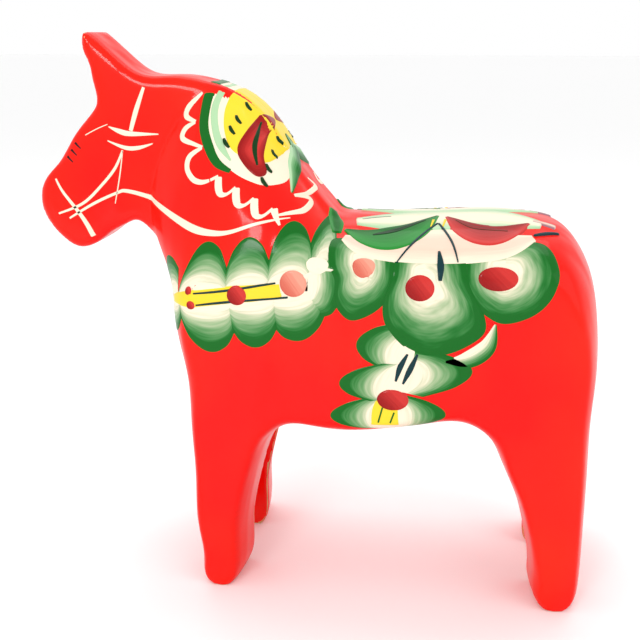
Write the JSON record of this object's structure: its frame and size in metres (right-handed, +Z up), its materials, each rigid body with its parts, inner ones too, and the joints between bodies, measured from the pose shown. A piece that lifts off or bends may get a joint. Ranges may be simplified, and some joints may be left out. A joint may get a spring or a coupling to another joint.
{
  "type": "carved wooden horse figurine",
  "caption": "Standing carved wooden horse with straight legs, slab head and upright ears, in a glossy coat with brushed flower harness ornament.",
  "frame": {"origin": "on the floor, under the middle of the horse's length and width", "axes": "+X to the rump, -X to the nose, +Y to the horse's right side, +Z up"},
  "size_m": [0.2491, 0.0856, 0.2449],
  "materials": {
    "pine": "bare planed pine, seen only at the soles",
    "red_paint": "glossy varnished red oil paint",
    "cream_paint": "brushed oil paint under varnish",
    "green_paint": "brushed oil paint under varnish",
    "petal_paint": "double-loaded brush strokes, green edge to cream",
    "yellow_paint": "brushed oil paint under varnish",
    "berry_paint": "double-loaded brush strokes, red to salmon",
    "teal_paint": "brushed oil paint under varnish",
    "black_paint": "brushed oil paint under varnish"
  },
  "bodies": {
    "root": {"centre_board": "pine", "left_board": "pine", "right_board": "pine", "red_coat": "red_paint", "rein": "cream_paint", "bridle": "cream_paint", "eyelashes": "black_paint", "mane_scroll": "cream_paint", "mane_rim": "green_paint", "mane_field": "yellow_paint", "mane_bud": "berry_paint", "mane_leaf": "green_paint", "breast_petals": "petal_paint", "breast_ribbon": "yellow_paint", "breast_lines": "green_paint", "breast_berries": "berry_paint", "saddle_petals": "petal_paint", "saddle_leaf": "green_paint", "saddle_flower": "berry_paint", "saddle_berries": "berry_paint", "saddle_whiskers": "teal_paint", "back_dashes": "teal_paint", "girth_petals": "petal_paint", "girth_ribbon": "yellow_paint", "girth_berry": "berry_paint", "girth_strokes": "teal_paint"}
  },
  "joints": []
}
